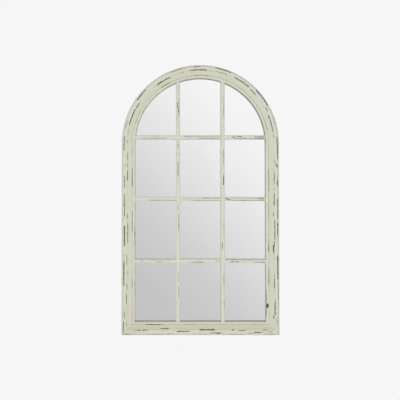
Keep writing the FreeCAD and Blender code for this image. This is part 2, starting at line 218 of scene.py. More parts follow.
RAIL_MARKS = [
    (-338, -318, 4.0, 1.8, 0.80), (-287, -283, 23.5, 2.0, 0.60), (-274, -267, 23.5, 2.2, 0.85),
    (-254, -246, 23.5, 2.2, 0.80), (-239, -235, 23.5, 2.2, 0.65), (-213, -162, 4.5, 1.5, 0.62),
    (-310, -296, 4.0, 1.2, 0.55), (-241, -222, 4.0, 1.2, 0.55), (212, 230, 10.6, 1.5, 0.58),
    (-150, -123, 7.5, 1.6, 0.55), (-174, -143, 30.0, 2.0, 0.72), (-237, -177, 47.5, 2.2, 0.95),
    (-171, -163, 47.5, 1.6, 0.55), (-101, -53, 18.5, 2.2, 0.82), (-1, 60, 25.0, 2.4, 0.95),
    (-33, 33, 6.0, 1.3, 0.52), (42, 90, 12.0, 1.8, 0.64), (72, 82, 9.5, 2.2, 0.66),
    (140, 146, 23.5, 2.2, 0.70), (170, 197, 22.0, 1.7, 0.60), (238, 264, 14.0, 2.0, 0.84),
    (264, 280, 15.5, 1.4, 0.55),
    (133, 188, 4.5, 1.5, 0.62), (279, 292, 24.0, 1.8, 0.70), (301, 316, 16.0, 1.8, 0.66),
    (285, 327, 4.5, 1.4, 0.60), (-70, -33, 47.5, 1.4, 0.50), (-30, 300, 47.5, 0.9, 0.28),
]
ARCH_MARKS = [                 # along is the angle in degrees from the right spring
    (0, 4.2, 9.0, 2.0, 0.75), (4.8, 7.0, 22.0, 1.6, 0.55), (9.3, 21.6, 23.5, 2.0, 0.70),
    (15.0, 20.0, 8.0, 1.4, 0.45), (26.0, 28.6, 18.5, 2.0, 0.62), (29.8, 43.2, 6.5, 2.3, 0.90),
    (42.0, 46.7, 23.0, 2.2, 0.82), (50.0, 62.0, 18.5, 2.3, 0.90), (67.0, 78.2, 6.5, 2.2, 0.80),
    (69.0, 73.0, 21.0, 1.6, 0.55), (74.0, 77.6, 23.0, 1.6, 0.58), (80.2, 81.4, 24.0, 1.4, 0.45),
    (85.8, 97.4, 22.5, 2.3, 0.86), (91.0, 94.2, 8.5, 2.0, 0.70), (104.0, 112.0, 8.5, 1.8, 0.62),
    (115.0, 126.0, 27.0, 2.1, 0.82), (116.7, 124.2, 47.0, 1.8, 0.70), (136.0, 145.2, 10.0, 2.3, 0.92),
    (147.0, 151.0, 25.0, 2.0, 0.75), (153.0, 164.5, 23.5, 2.2, 0.92), (163.0, 168.0, 10.5, 1.5, 0.50),
    (171.0, 172.2, 25.5, 1.6, 0.50), (175.0, 180.0, 13.0, 1.9, 0.65), (178.0, 179.4, 25.5, 1.6, 0.5),
    (10.5, 21.0, 46.5, 1.3, 0.45), (32.0, 35.0, 46.5, 1.4, 0.42), (45.5, 59.0, 46.0, 1.2, 0.42),
    (83.4, 95.1, 46.0, 1.4, 0.52), (150.0, 162.0, 48.5, 1.3, 0.45), (99.0, 108.0, 26.0, 1.0, 0.30),
]
BAR_MARKS = {                  # inset is measured from the bar's centre line, to the right or up
    "vertical_bar_left": [
        (1012, 1030, -1.6, 1.3, 0.72), (988, 1012, 1.6, 1.3, 0.78), (1034, 1046, 1.8, 1.1, 0.55),
        (950, 976, -4.2, 1.0, 0.52), (972, 1030, 5.0, 0.9, 0.52), (832, 847, 0.5, 1.4, 0.60),
        (706, 765, 0.5, 1.6, 0.68), (558, 569, 0.5, 1.4, 0.60), (461, 535, 3.8, 1.2, 0.58),
        (239, 283, 0.8, 1.2, 0.50), (164, 216, 3.8, 1.1, 0.50), (1045, 1110, 3.8, 0.9, 0.40),
    ],
    "vertical_bar_right": [
        (965, 1061, 4.2, 1.1, 0.50), (750, 820, 3.4, 1.5, 0.50), (668, 698, 2.6, 2.0, 0.92),
        (700, 716, 4.0, 1.2, 0.55), (380, 409, -1.5, 1.4, 0.66), (224, 275, 4.0, 1.1, 0.50),
        (120, 154, 7.5, 1.2, 0.50), (445, 500, 4.0, 1.0, 0.42),
    ],
    "horizontal_bar_top": [
        (-258, -150, -4.6, 0.9, 0.72), (-69, -45, 4.2, 1.2, 0.78), (-40, 94, 4.2, 0.9, 0.58),
        (-10, 94, -4.4, 1.3, 0.62), (143, 153, 0.0, 1.9, 0.92), (165, 182, 3.6, 1.8, 0.85),
        (150, 285, -6.0, 1.2, 0.52),
        (242, 286, 1.0, 1.5, 0.72), (255, 280, -4.2, 1.1, 0.60), (-225, -190, 4.2, 1.0, 0.45),
    ],
    "horizontal_bar_middle": [
        (-228, -106, -5.0, 1.3, 0.60), (-76, -43, 1.0, 1.1, 0.55), (-28, 3, -5.0, 1.4, 0.66),
        (12, 92, 4.6, 1.4, 0.58), (112, 118, 3.0, 1.4, 0.85), (118, 124, 0.0, 1.4, 0.85),
        (125, 132, -3.0, 1.4, 0.80), (138, 286, 4.6, 1.2, 0.47), (255, 284, 1.5, 1.4, 0.62),
        (10, 92, -6.0, 1.2, 0.50), (140, 286, -6.0, 1.2, 0.55),
    ],
    "horizontal_bar_bottom": [
        (-262, -252, 0.0, 1.4, 0.55), (-194, -165, -2.0, 1.2, 0.55), (-150, -138, -3.0, 1.2, 0.5),
        (-32, 9, -4.0, 1.5, 0.68), (68, 92, 0.0, 1.1, 0.50), (138, 168, -2.0, 1.5, 0.70),
        (242, 286, -4.0, 1.4, 0.66), (112, 286, 6.5, 1.3, 0.50), (-285, -120, 6.5, 1.1, 0.42),
    ],
}


def uneven(along, across, bumps, seed):
    """Value noise whose bumps have this length and width."""
    length, width = bumps
    return smooth_noise(along / length, across / width, seed)


def marks_at(along, across, marks, seed):
    """How strongly each point is rubbed. Marks are ragged strips with soft ends, and a strength over
    1 goes deep into the wood."""
    strongest = np.zeros(np.broadcast(along, across).shape)
    for number, (start, end, inset, width, strength) in enumerate(marks):
        bumps = uneven(along, across, MARK_BUMPS, seed + number)
        ragged = MARK_NARROWEST + MARK_WIDENING * bumps
        past = past_ends(along, start, end) / MARK_FADE
        off = (across - inset) / (width * ragged)
        strongest = np.maximum(strongest, strength * np.exp(-(off ** 2 + past ** 2)))
    return strongest


def past_ends(along, start, end):
    """How far beyond either end a point is, and 0 between them."""
    return np.maximum(np.maximum(start - along, along - end), 0)


def near_any(across, lines, width):
    """1 on any of the lines, fading to 0 over the width beside them."""
    peaks = [np.exp(-((across - line) / width) ** 2) for line in lines]
    return np.max([np.zeros_like(across)] + peaks, axis=0)


# ---- sections: rows of (inset, height, distance across the painted face, bare wood) ----------
def arc_between(start, middle, end, steps):
    """Points on the parabola through three points, close to the arc that the source draws."""
    t = np.linspace(0, 1, steps + 1)[1:, None]
    start, middle, end = map(np.array, (start, middle, end))
    lift = middle - (start + end) / 2
    return start + (end - start) * t + lift * 4 * t * (1 - t)


def line_between(start, end, spacing):
    steps = max(1, round(math.dist(start, end) / spacing))
    t = np.linspace(0, 1, steps + 1)[1:, None]
    return np.array(start) + (np.array(end) - np.array(start)) * t


def moulding_section():
    """The frame's closed section, anticlockwise from the front's outer corner at the back."""
    top = DEPTH - BEVEL_DROP
    ridge, second = (FIRST_RIDGE, DEPTH), (SECOND_RIDGE, DEPTH)
    hollow = (FIRST_RIDGE + HOLLOW_WIDTH / 2, DEPTH - HOLLOW_SINK)
    quirk = (COVE_START, DEPTH - QUIRK_DROP)
    cove = (COVE_START + COVE_WIDTH / 2, DEPTH - COVE_SINK)
    cove_end = (COVE_END, DEPTH - COVE_END_DROP)
    bead, bead_end = (BEAD_START, DEPTH - BEAD_DROP), (BEAD_END, DEPTH - BEAD_DROP)
    crown = (BEAD_START + BEAD_WIDTH / 2, DEPTH - BEAD_DROP + BEAD_CROWN)
    nose = (MEMBER_WIDTH, INNER_WALL_TOP)
    face = [
        line_between((0, 0), (0, OUTER_SIDE), SIDE_ACROSS),
        line_between((0, OUTER_SIDE), (BEVEL_WIDTH, top), ACROSS),
        line_between((BEVEL_WIDTH, top), ridge, ACROSS),
        arc_between(ridge, hollow, second, round(HOLLOW_WIDTH / ACROSS)),
        line_between(second, quirk, ACROSS),
        arc_between(quirk, cove, cove_end, round(COVE_WIDTH / ACROSS)),
        line_between(cove_end, bead, ACROSS),
        arc_between(bead, crown, bead_end, round(BEAD_WIDTH / ACROSS)),
        line_between(bead_end, nose, ACROSS),
        line_between(nose, (MEMBER_WIDTH, GLASS_SEAT), SIDE_ACROSS),
    ]
    ledge = MEMBER_WIDTH - GLASS_LAP
    shelf = ledge - BOARD_LAP
    corners = [(MEMBER_WIDTH, GLASS_SEAT), (ledge, GLASS_SEAT), (ledge, BOARD_SEAT),
               (shelf, BOARD_SEAT), (shelf, 0), (0, 0)]
    back = [line_between(a, b, BACK_ACROSS) for a, b in zip(corners, corners[1:])]
    return with_distance(np.vstack(face), np.vstack(back))


def bar_section():
    half, flat = BAR_WIDTH / 2, BAR_FLAT / 2
    shoulder = INNER_WALL_TOP - BAR_CHAMFER_DROP
    face = [
        line_between((-half, GLASS_SEAT), (-half, shoulder), SIDE_ACROSS),
        line_between((-half, shoulder), (-flat, INNER_WALL_TOP), ACROSS),
        line_between((-flat, INNER_WALL_TOP), (flat, INNER_WALL_TOP), ACROSS),
        line_between((flat, INNER_WALL_TOP), (half, shoulder), ACROSS),
        line_between((half, shoulder), (half, GLASS_SEAT), SIDE_ACROSS),
    ]
    back = line_between((half, GLASS_SEAT), (-half, GLASS_SEAT), SIDE_ACROSS)
    return with_distance(np.vstack(face), back)


def with_distance(face, back):
    """Adds the inset, carried on down the sides, and 1 for the bare back."""
    beyond_side = np.where(face[:, 0] <= face[:, 0].min(), face[:, 1] - OUTER_SIDE, 0)
    last = face[:, 0] >= face[:, 0].max()
    beyond_wall = np.where(last, face[last, 1].max() - face[:, 1], 0)
    distance = face[:, 0] + np.minimum(beyond_side, 0) + beyond_wall
    painted = np.column_stack([face, distance, np.zeros(len(face))])
    bare = np.column_stack([back, back[:, 0], np.ones(len(back))])
    return np.vstack([painted, bare])


def outward(section):
    """Unit normals of the closed section, pointing out of the wood."""
    points = section[:, :2]
    along = np.roll(points, -1, axis=0) - np.roll(points, 1, axis=0)
    normal = np.column_stack([-along[:, 1], along[:, 0]])
    return normal / np.linalg.norm(normal, axis=1)[:, None]


# ---- meshes ----------------------------------------------------------------------------------
def swept_mesh(name, places, flow, **looks):
    """A closed bar from a grid of points: rows are sections along it, and its ends are capped."""
    rows, columns = places.shape[:2]
    mesh = bpy.data.meshes.new(name)
    faces = []
    for row in range(rows - 1):
        for column in range(columns):
            after = (column + 1) % columns
            faces.append((row * columns + column, row * columns + after,
                          (row + 1) * columns + after, (row + 1) * columns + column))
    faces.append(tuple(reversed(range(columns))))
    faces.append(tuple(range((rows - 1) * columns, rows * columns)))
    mesh.from_pydata((places.reshape(-1, 3) * MM).tolist(), [], faces)
    store(mesh, "flow", "FLOAT_VECTOR", "vector", flow.reshape(-1, 3) * MM)
    for look, values in looks.items():
        store(mesh, look, "FLOAT", "value", values)
    mesh.validate()
    face_outward(mesh)
    mesh.shade_smooth()
    mesh.set_sharp_from_angle(angle=SHARP_ANGLE)
    piece = bpy.data.objects.new(name, mesh)
    bpy.context.scene.collection.objects.link(piece)
    return piece


def store(mesh, name, kind, field, values):
    """Keeps a value at every point of the mesh for its material to read."""
    layer = mesh.attributes.new(name, kind, "POINT")
    layer.data.foreach_set(field, np.ascontiguousarray(values, dtype=np.float32).ravel())


def face_outward(mesh):
    work = bmesh.new()
    work.from_mesh(mesh)
    bmesh.ops.recalc_face_normals(work, faces=work.faces)
    work.to_mesh(mesh)
    work.free()


def worn(section, run, marks, ridges, seed):
    """Wear at every point, how near it is to a ridge, and how far the surface is sunk there. run is
    how far along the piece each point of the grid is."""
    across = section[None, :, 2]
    painted = 1 - section[None, :, 3]
    wear = marks_at(run, across, marks, seed) * painted
    edge = near_any(across, ridges, EDGE_WIDTH) * painted + np.zeros_like(run)
    scuffed = edge * uneven(run, across, EDGE_BUMPS, seed + EDGE_SEED)
    waver = uneven(run, across, WAVER_BUMPS, seed + WAVER_SEED) * painted
    sink = LEAST_SINK + RUB_DEPTH * wear + EDGE_DEPTH * scuffed + WAVER * waver
    return wear, edge, sink


def in_cove(across):
    """How much of the old paint's yellow shows: most in the cove, least on the worn outer bevel."""
    outer, inner = COVE_EDGES
    cove = np.clip((across - SECOND_RIDGE) / outer, 0, 1) * np.clip((BEAD_START - across) / inner, 0, 1)
    rim = np.clip((across - RIM_START) / WORN_RIM, LEFT_AT_RIM, 1)
    return np.clip(OUTSIDE_COVE + (1 - OUTSIDE_COVE) * cove, 0, 1) * rim


def frame_member(name, along, run_at, place, marks, seed, mitres=()):
    """One moulded piece. run_at(along, inset) says how far along the wood a point is, and
    place(run, inset, height) says where that is. mitres are the stations of its mitred ends."""
    section = moulding_section()
    normal = outward(section)
    run = run_at(along[:, None], section[None, :, 0]) + 0 * section[None, :, 0]
    wear, edge, sink = worn(section, run, marks, RIDGES, seed)
    joint = near_any(along, mitres, JOINT_WIDTH)[:, None] * (1 - section[None, :, 3])
    sink = sink + JOINT_SINK * joint
    inset = np.maximum(section[None, :, 0] - normal[None, :, 0] * sink, LEAST_SINK)
    height = section[None, :, 1] - normal[None, :, 1] * sink
    places = place(run_at(along[:, None], inset), inset, height)
    across = section[None, :, 2] + 0 * run
    flow = flow_of(run, across, seed)
    return swept_mesh(name, places, flow, wear=wear, edge=edge,
                      bare=section[None, :, 3] + 0 * run,
                      aged=AGED.get(name, AGED_ELSEWHERE) * in_cove(across),
                      # Painted shade beside the glass and in the groove, darker paint in the cove, and
                      # dirt in the mitre joints.
                      grime=np.maximum(grime_at(name, across), JOINT_DIRT * joint),
                      stain=stains_at(name, run))


def grime_at(name, across):
    """Painted shade beside the glass and in the groove beside the bead, and darker paint in the cove.
    """
    glass_edge_shade = SHADE_BESIDE_GLASS.get(name, 0) * np.clip((across - BEAD_END) / SHADE_BESIDE_GLASS_FADE, 0, 1)
    groove_shade = SHADE_IN_GROOVE.get(name, SHADE_IN_GROOVE_ELSEWHERE) * near_any(across, (GROOVE_LINE,), GROOVE_WIDTH)
    cove = IN_COVE.get(name, 0) * near_any(across, (COVE_LINE,), COVE_LINE_WIDTH)
    return np.maximum(glass_edge_shade, groove_shade) + cove


def flow_of(run, across, seed):
    """Coordinates that follow the wood, for the grain, the streaks and the brushed paint."""
    return np.stack([run, across, np.full(run.shape, seed * PIECE_STEP)], axis=-1)


def stains_at(name, run):
    strength = np.zeros(run.shape)
    for start, end, most in STAINS.get(name, ()):
        past = past_ends(run, start, end) / STAIN_FADE
        strength = np.maximum(strength, most * np.exp(-past ** 2))
    return strength


def stations(start, end, mitres=()):
    """Evenly spaced sections, and closer ones at the mitres."""
    even = np.linspace(start, end, round((end - start) / STATION) + 1)
    close = [mitre + step * JOINT_WIDTH for mitre in mitres
             for step in range(-MITRE_STATIONS, MITRE_STATIONS + 1)]
    return np.unique(np.clip(np.concatenate([even, close]), start, end))


def stile(side):
    """An upright whose foot is cut to the mitre."""
    def run_at(along, inset):
        return inset + (SPRING - inset) * along / SPRING

    def place(run, inset, height):
        x = side * (FRAME_WIDTH / 2 - inset)
        return np.stack([x + 0 * run, BACK_PLANE - height, run], axis=-1)

    name = "left_stile" if side < 0 else "right_stile"
    foot = (0,)
    along = stations(0, SPRING, foot)
    return frame_member(name, along, run_at, place, STILE_MARKS[name], STILE_SEED + side, foot)


def bottom_rail():
    half = FRAME_WIDTH / 2

    def run_at(along, inset):
        return along * (half - inset) / half

    def place(run, inset, height):
        return np.stack([run, BACK_PLANE - height, inset + 0 * run], axis=-1)

    ends = (-half, half)
    along = stations(-half, half, ends)
    return frame_member("bottom_rail", along, run_at, place, RAIL_MARKS, RAIL_SEED, ends)


def arch_segment(name, seed):
    start, end = ARCH_JOINTS[name]
    middle_radius = ARCH_RADIUS - MEMBER_WIDTH / 2
    per_degree = math.radians(1) * middle_radius

    def run_at(along, inset):
        return along + 0 * inset

    def place(run, inset, height):
        turn = run / middle_radius
        radius = ARCH_RADIUS - inset
        return np.stack([radius * np.cos(turn), BACK_PLANE - height,
                         SPRING + radius * np.sin(turn)], axis=-1)

    marks = [(a * per_degree, b * per_degree, *rest) for a, b, *rest in ARCH_MARKS]
    along = stations(start * per_degree, end * per_degree)
    return frame_member(name, along, run_at, place, marks, seed)


def arch_reach(offset):
    """Half the round opening's width at this height above its centre, or its height there at this
    distance from its middle."""
    return np.sqrt(OPENING_HALF ** 2 - offset ** 2)


def bar_ends(places, upright):
    """Where each line of a bar's section starts and ends along the bar. places are the lines' own
    places across it."""
    if upright:
        low = np.full(len(places), MEMBER_WIDTH - BAR_OVERLAP)
        return low, SPRING + arch_reach(places) + BAR_OVERLAP
    high = arch_reach(np.maximum(places - SPRING, 0)) + BAR_OVERLAP
    return -high, high


def passed_under(along, height, crossings):
    """Points of an upright bar's flat face that a level bar runs over."""
    under = np.zeros(along.shape, dtype=bool)
    for crossing in crossings:
        under |= np.abs(along - crossing) < (BAR_FLAT - LAP_STEP) / 2
    return under & (height > INNER_WALL_TOP - LAP_SINK)


def bar(name, centre, upright, crossings, seed):
    """A glazing bar. Its ends follow the frame's inner wall. crossings are the places of the level
    bars along an upright one, and empty for a level bar."""
    section = bar_section()
    normal = outward(section)
    low, high = bar_ends(section[:, 0] + centre, upright)
    half, flat = BAR_WIDTH / 2, BAR_FLAT / 2
    steps = [crossing + step for crossing in crossings
             for step in (-flat, -flat + LAP_STEP, flat - LAP_STEP, flat)]
    along = np.unique(np.concatenate([stations(low.min(), high.max()), steps]))
    along = along[:, None] + 0 * section[None, :, 0]
    wear, edge, sink = worn(section, along, BAR_MARKS[name], (-half, -flat, flat, half), seed)
    sink = np.where(passed_under(along, section[None, :, 1], crossings), LAP_SINK, sink)
    shown = np.clip(along, low[None, :], high[None, :])
    offset = section[None, :, 0] - normal[None, :, 0] * sink + centre
    height = section[None, :, 1] - normal[None, :, 1] * sink
    x, z = (offset, shown) if upright else (shown, offset)
    places = np.stack([x, BACK_PLANE - height, z], axis=-1)
    flow = flow_of(along, section[None, :, 2] + 0 * along, seed)
    none = np.zeros_like(sink)
    return swept_mesh(name, places, flow, wear=wear, edge=edge, bare=none, aged=none + AGED_BARS,
                      grime=none, stain=none)


# ---- materials -------------------------------------------------------------------------------
def empty_material(name):
    material = bpy.data.materials.new(name)
    material.use_nodes = True
    material.node_tree.nodes.clear()
    return material, material.node_tree


def new_material(name):
    material, tree = empty_material(name)
    shader = tree.nodes.new("ShaderNodeBsdfPrincipled")
    output = tree.nodes.new("ShaderNodeOutputMaterial")
    tree.links.new(shader.outputs["BSDF"], output.inputs["Surface"])
    return material, tree, shader


MIDDLE = (0.3, 0.7)            # most of a noise's values lie between these
WIDE = (0.2, 0.8)


class Nodes:
    """Short names for the nodes that the materials and the world share."""

    def __init__(self, tree):
        self.tree = tree

    def link(self, value, socket):
        if isinstance(value, bpy.types.NodeSocket):
            self.tree.links.new(value, socket)
        else:
            socket.default_value = value

    def attribute(self, name, output="Fac"):
        node = self.tree.nodes.new("ShaderNodeAttribute")
        node.attribute_name = name
        return node.outputs[output]

    def object_place(self):
        return self.tree.nodes.new("ShaderNodeTexCoord").outputs["Object"]

    def separate(self, vector):
        node = self.tree.nodes.new("ShaderNodeSeparateXYZ")
        self.link(vector, node.inputs["Vector"])
        return node.outputs

    def stretch(self, vector, scale):
        node = self.tree.nodes.new("ShaderNodeVectorMath")
        node.operation = "MULTIPLY"
        self.link(vector, node.inputs[0])
        node.inputs[1].default_value = scale
        return node.outputs["Vector"]

    def noise(self, vector, scale=1.0, detail=3.0, roughness=0.55):
        node = self.tree.nodes.new("ShaderNodeTexNoise")
        self.link(vector, node.inputs["Vector"])
        node.inputs["Scale"].default_value = scale
        node.inputs["Detail"].default_value = detail
        node.inputs["Roughness"].default_value = roughness
        return node.outputs["Fac"]

    def maths(self, operation, a, b):
        node = self.tree.nodes.new("ShaderNodeMath")
        node.operation = operation
        self.link(a, node.inputs[0])
        self.link(b, node.inputs[1])
        return node.outputs["Value"]

    def between(self, value, low, high, to_low=0.0, to_high=1.0, smooth=True):
        node = self.tree.nodes.new("ShaderNodeMapRange")
        node.interpolation_type = "SMOOTHSTEP" if smooth else "LINEAR"
        self.link(value, node.inputs["Value"])
        node.inputs["From Min"].default_value = low
        node.inputs["From Max"].default_value = high
        node.inputs["To Min"].default_value = to_low
        node.inputs["To Max"].default_value = to_high
        return node.outputs["Result"]

    def mix(self, share, a, b):
        node = self.tree.nodes.new("ShaderNodeMix")
        node.data_type = "RGBA"
        self.link(share, node.inputs["Factor"])
        self.link(a, node.inputs["A"])
        self.link(b, node.inputs["B"])
        return node.outputs["Result"]

    def bump(self, height, distance, before=None):
        node = self.tree.nodes.new("ShaderNodeBump")
        self.link(height, node.inputs["Height"])
        node.inputs["Distance"].default_value = distance
        if before is not None:
            self.link(before, node.inputs["Normal"])
        return node.outputs["Normal"]


# ---- worn paint ------------------------------------------------------------------------------
PAINT = (0.660, 0.664, 0.572, 1)
PAINT_AGED = (0.571, 0.580, 0.418, 1)
PAINT_STAINED = (0.618, 0.580, 0.478, 1)
PAINT_THIN = (0.360, 0.358, 0.275, 1)
# The dark tint of the painted shade beside the glass and in the groove, and of the cove and the mitre
# joints.
SHADE_AND_GRIME_COLOUR = (0.300, 0.295, 0.240, 1)
STAINED_WOOD = (0.072, 0.066, 0.046, 1)
STAINED_WOOD_PALE = (0.140, 0.128, 0.090, 1)
DEEP_WOOD = (0.018, 0.016, 0.011, 1)
BACK_WOOD = (0.200, 0.122, 0.066, 1)
BACK_WOOD_DARK = (0.110, 0.063, 0.034, 1)

# Bumps of the noise per metre: along the wood, across it, and from piece to piece.
STREAKS = (34, 420, 1)
RAGGED = (240, 900, 1)
CLOUDS = (9, 40, 1)
BRUSHED = (14, 1500, 1)
GRAIN = (22, 900, 1)

# How much a mark, a rubbed ridge and the ragged noise count, and from which sum to which the paint
# thins out and the wood shows. The wood is gouged by marks of a strength between the last two.
MARK_SHARE = 0.95
RIDGE_SHARE = 0.56
RAGGED_SHARE = 0.55
THINNING = (0.20, 0.36)
SHOWING = (0.38, 0.50)
GOUGED = (1.05, 1.4)
SCUFFED = (0.50, 0.72)         # streaks that are rubbed on the ridges
UNWORN = (0.04, 0.2)           # no paint is lost where marks and ridges count less than this

PATCHY = (0.75, 1.25)          # the yellow varies between these shares, and the stains against it
# Streaks make the painted shade and the dirt patchy between these shares.
SHADE_AND_GRIME_STREAKS = (0.2, 0.7)
SHADE_AND_GRIME_SHARES = (0.6, 1.0)
OLD_GRAIN = (0.35, 0.65)       # over these ranges the grain turns the wood from one tint to the other
BACK_GRAIN = (0.38, 0.66)
PAINT_ROUGHNESS = (0.52, 0.66)
WOOD_ROUGHER = 0.16
PAINT_SHEEN = 0.35

# Depth of the relief, and how the paint on the back's outer margin ends, in metres.
BRUSH_RELIEF = 0.12 * MM
GRAIN_RELIEF = 0.3 * MM
PAINT_THICKNESS = 0.5 * MM
MARGIN = (1.5 * MM, 3 * MM)
MARGIN_WANDER = 2 * MM


def rubbed(n, flow, streaks):
    """How thin the paint is, how far the wood shows, and how far the wood is gouged."""
    wear, edge = n.attribute("wear"), n.attribute("edge")
    ragged = n.maths("SUBTRACT", n.noise(n.stretch(flow, RAGGED), roughness=0.75), 0.5)
    scuff = n.maths("MULTIPLY", edge, n.between(streaks, *SCUFFED))
    total = n.maths("ADD", n.maths("MULTIPLY", wear, MARK_SHARE),
                    n.maths("MULTIPLY", scuff, RIDGE_SHARE))
    total = n.maths("ADD", total, n.maths("MULTIPLY", ragged, RAGGED_SHARE))
    total = n.maths("MULTIPLY", total, n.between(n.maths("ADD", wear, edge), *UNWORN))
    return n.between(total, *THINNING), n.between(total, *SHOWING), n.between(wear, *GOUGED)


def bare_back(n, flow, streaks):
    """The bare back, where a narrow uneven margin along the outer edge has paint on it."""
    wander = n.between(streaks, *MIDDLE, -MARGIN_WANDER, MARGIN_WANDER)
    inset = n.maths("ADD", n.separate(flow)["Y"], wander)
    return n.maths("MULTIPLY", n.attribute("bare"), n.between(inset, *MARGIN))


def paint_colour(n, clouds, streaks):
    aged = n.maths("MULTIPLY", n.attribute("aged"), n.between(clouds, *WIDE, *PATCHY))
    stain = n.maths("MULTIPLY", n.attribute("stain"), n.between(clouds, *WIDE, *reversed(PATCHY)))
    # Painted shade beside the glass and in the groove, the darker cove and dirt in the joints darken
    # the paint here.
    grime = n.maths("MULTIPLY", n.attribute("grime"),
                    n.between(streaks, *SHADE_AND_GRIME_STREAKS, *SHADE_AND_GRIME_SHARES))
    paint = n.mix(aged, PAINT, PAINT_AGED)
    paint = n.mix(stain, paint, PAINT_STAINED)
    return n.mix(grime, paint, SHADE_AND_GRIME_COLOUR)


def painted_wood():
    material, tree, shader = new_material("worn_paint")
    n = Nodes(tree)
    flow = n.attribute("flow", "Vector")
    streaks = n.noise(n.stretch(flow, STREAKS), roughness=0.6)
    clouds = n.noise(n.stretch(flow, CLOUDS), detail=2.0)
    brushed = n.noise(n.stretch(flow, BRUSHED), detail=2.0, roughness=0.6)
    grain = n.noise(n.stretch(flow, GRAIN), detail=4.0, roughness=0.65)
    thin, through, gouged = rubbed(n, flow, streaks)
    bare = bare_back(n, flow, streaks)

    wood = n.mix(n.between(grain, *OLD_GRAIN), STAINED_WOOD, STAINED_WOOD_PALE)
    wood = n.mix(gouged, wood, DEEP_WOOD)
    back = n.mix(n.between(grain, *BACK_GRAIN), BACK_WOOD, BACK_WOOD_DARK)
    paint = n.mix(thin, paint_colour(n, clouds, streaks), PAINT_THIN)
    colour = n.mix(bare, n.mix(through, paint, wood), back)
    tree.links.new(colour, shader.inputs["Base Color"])

    rough = n.between(brushed, *MIDDLE, *PAINT_ROUGHNESS, smooth=False)
    rough = n.maths("ADD", rough, n.maths("MULTIPLY", through, WOOD_ROUGHER))
    tree.links.new(rough, shader.inputs["Roughness"])
    shader.inputs["Specular IOR Level"].default_value = PAINT_SHEEN
    relief = n.bump(brushed, BRUSH_RELIEF)
    open_grain = n.maths("MULTIPLY", grain, n.maths("ADD", through, bare))
    relief = n.bump(open_grain, GRAIN_RELIEF, before=relief)
    relief = n.bump(n.maths("SUBTRACT", 1.0, through), PAINT_THICKNESS, before=relief)
    tree.links.new(relief, shader.inputs["Normal"])
    return material


# ---- glass, board, metal and rubber -------------------------------------------------------------
SILVER = (0.965, 0.962, 0.960, 1)
SILVER_HAZED = (0.955, 0.954, 0.951, 1)
BOARD = (0.340, 0.215, 0.120, 1)
BOARD_CLOUDED = (0.285, 0.172, 0.092, 1)
BOARD_FLECKED = (0.165, 0.095, 0.050, 1)
BOARD_FIBRE = (0.430, 0.300, 0.185, 1)
RUBBER = (0.020, 0.020, 0.021, 1)
RUBBER_DUSTY = (0.060, 0.058, 0.054, 1)
BEECH = (0.560, 0.380, 0.220, 1)
BEECH_DARK = (0.440, 0.280, 0.150, 1)

# Plated steel has a pale and a warm tint.
STRAP_ZINC = ((0.66, 0.67, 0.68, 1), (0.60, 0.59, 0.55, 1))
WIRE_ZINC = ((0.70, 0.71, 0.72, 1), (0.62, 0.61, 0.58, 1))
SCREW_ZINC = ((0.70, 0.62, 0.42, 1), (0.58, 0.54, 0.44, 1))

# How the patterns are stretched: under 1 they are longer up and down, over 1 shorter.
ALL_ROUND = (1, 1, 1)
LINES_UPRIGHT = (1, 1, 0.1)
GRAIN_UPRIGHT = (1, 1, 0.12)
FLECKS_UPRIGHT = (1, 1, 0.35)
FIBRES_LEVEL = (1, 1, 1.6)


def mirror_silver():
    material, tree, shader = new_material("silvered_glass")
    n = Nodes(tree)
    place = n.object_place()
    haze = n.noise(place, scale=6.0)
    specks = n.noise(place, scale=900.0, detail=1.0)
    shader.inputs["Metallic"].default_value = 1.0
    tree.links.new(n.mix(n.between(haze, *MIDDLE), SILVER, SILVER_HAZED),
                   shader.inputs["Base Color"])
    rough = n.maths("ADD", n.between(haze, *MIDDLE, to_low=0.004, to_high=0.012),
                    n.between(specks, 0.74, 0.78, to_high=0.05))
    tree.links.new(rough, shader.inputs["Roughness"])
    return material


def pressed_board():
    material, tree, shader = new_material("pressed_board")
    n = Nodes(tree)
    place = n.object_place()
    fibres = n.noise(n.stretch(place, FIBRES_LEVEL), scale=420.0, detail=5.0, roughness=0.7)
    clouds = n.noise(place, scale=7.0)
    flecks = n.noise(n.stretch(place, FLECKS_UPRIGHT), scale=900.0, detail=2.0)
    base = n.mix(n.between(clouds, *MIDDLE), BOARD, BOARD_CLOUDED)
    base = n.mix(n.between(flecks, 0.62, 0.74), base, BOARD_FLECKED)
    tree.links.new(n.mix(n.between(fibres, 0.55, 0.8), base, BOARD_FIBRE),
                   shader.inputs["Base Color"])
    tree.links.new(n.between(fibres, *WIDE, to_low=0.62, to_high=0.86), shader.inputs["Roughness"])
    tree.links.new(n.bump(fibres, distance=0.4 * MM), shader.inputs["Normal"])
    return material


def plated_steel(name, pale, warm, brushed_along):
    """Zinc-plated steel in two tints, with fine brushed lines."""
    material, tree, shader = new_material(name)
    n = Nodes(tree)
    place = n.object_place()
    brushed = n.noise(n.stretch(place, brushed_along), scale=300.0, roughness=0.6)
    blotches = n.noise(place, scale=260.0)
    shader.inputs["Metallic"].default_value = 1.0
    tree.links.new(n.mix(n.between(blotches, 0.4, 0.7), pale, warm), shader.inputs["Base Color"])
    tree.links.new(n.between(brushed, 0.25, 0.75, to_low=0.26, to_high=0.46),
                   shader.inputs["Roughness"])
    tree.links.new(n.bump(brushed, distance=0.04 * MM), shader.inputs["Normal"])
    return material


